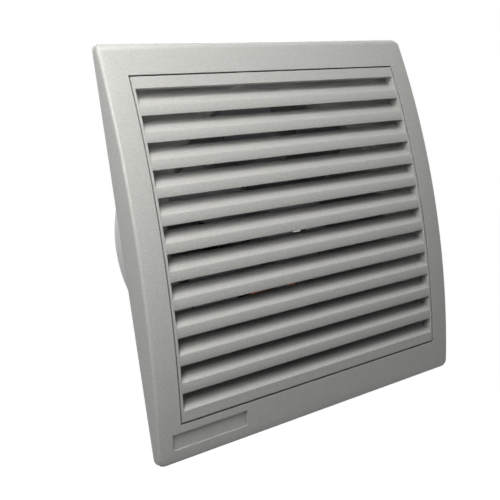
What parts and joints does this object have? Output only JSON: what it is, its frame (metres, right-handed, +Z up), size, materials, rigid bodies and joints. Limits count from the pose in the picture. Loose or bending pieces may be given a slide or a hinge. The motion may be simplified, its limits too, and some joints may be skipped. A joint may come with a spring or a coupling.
{
  "type": "louvred extractor fan with gravity shutter",
  "caption": "Square wall-mounted extractor fan with a crowned louvred front, an impeller on a small motor, and a gravity shutter in the mouth of its round duct spigot.",
  "frame": {"origin": "on the spigot's axis, in the plane of the base plate's back face, which lies on the wall", "axes": "+Y along the spigot, into the wall; +Z up; the louvred front faces -Y"},
  "size_m": [0.2, 0.0777, 0.2],
  "materials": {
    "silver_paint": "satin metallic silver paint on moulded plastic",
    "white_shell": "white moulded plastic, low gloss",
    "fan_grey": "grey moulded plastic",
    "bright_steel": "bright zinc plated steel",
    "rotor_metal": "cast aluminium cage on a steel stack",
    "lamination": "stacked electrical steel",
    "bobbin_black": "black moulded plastic",
    "copper_wire": "enamelled copper wire",
    "cast_zinc": "die cast zinc",
    "bronze": "sintered bronze",
    "terminal_ivory": "ivory moulded plastic",
    "brass_insert": "brass",
    "grommet_rubber": "black rubber",
    "shutter_white": "white moulded plastic"
  },
  "bodies": {
    "housing": {"front_cover": "silver_paint", "louvre_grille": "silver_paint", "base_plate": "white_shell", "spigot_tube": "white_shell", "motor_spider": "white_shell", "stator_core": "lamination", "coil_bobbin": "bobbin_black", "coil_winding": "copper_wire", "front_bearing_bracket": "cast_zinc", "rear_bearing_bracket": "cast_zinc", "front_bush": "bronze", "rear_bush": "bronze", "motor_screws": "bright_steel", "terminal_block": "terminal_ivory", "terminal_inserts": "brass_insert", "cable_grommet": "grommet_rubber", "cable_saddle": "white_shell", "shutter_frame": "shutter_white"},
    "rotor": {"impeller": "fan_grey", "impeller_nut": "bright_steel", "motor_shaft": "bright_steel", "rotor_core": "rotor_metal"},
    "flap_1": {"shutter_flap_1": "shutter_white"},
    "flap_2": {"shutter_flap_2": "shutter_white"},
    "flap_3": {"shutter_flap_3": "shutter_white"},
    "flap_4": {"shutter_flap_4": "shutter_white"},
    "flap_5": {"shutter_flap_5": "shutter_white"}
  },
  "joints": [
    {"name": "impeller_spin", "type": "hinge", "parent": "housing", "child": "rotor", "pos_m": [0, 0, 0], "axis": [0, 1, 0], "continuous": true},
    {"name": "flap_1_swing", "type": "hinge", "parent": "housing", "child": "flap_1", "pos_m": [0, 0.0569, -0.04], "axis": [1, 0, 0], "range_deg": [0, 78]},
    {"name": "flap_2_swing", "type": "hinge", "parent": "housing", "child": "flap_2", "pos_m": [0, 0.0569, -0.014], "axis": [1, 0, 0], "range_deg": [0, 78]},
    {"name": "flap_3_swing", "type": "hinge", "parent": "housing", "child": "flap_3", "pos_m": [0, 0.0569, 0.012], "axis": [1, 0, 0], "range_deg": [0, 78]},
    {"name": "flap_4_swing", "type": "hinge", "parent": "housing", "child": "flap_4", "pos_m": [0, 0.0569, 0.038], "axis": [1, 0, 0], "range_deg": [0, 78]},
    {"name": "flap_5_swing", "type": "hinge", "parent": "housing", "child": "flap_5", "pos_m": [0, 0.0569, 0.064], "axis": [1, 0, 0], "range_deg": [0, 78]}
  ]
}
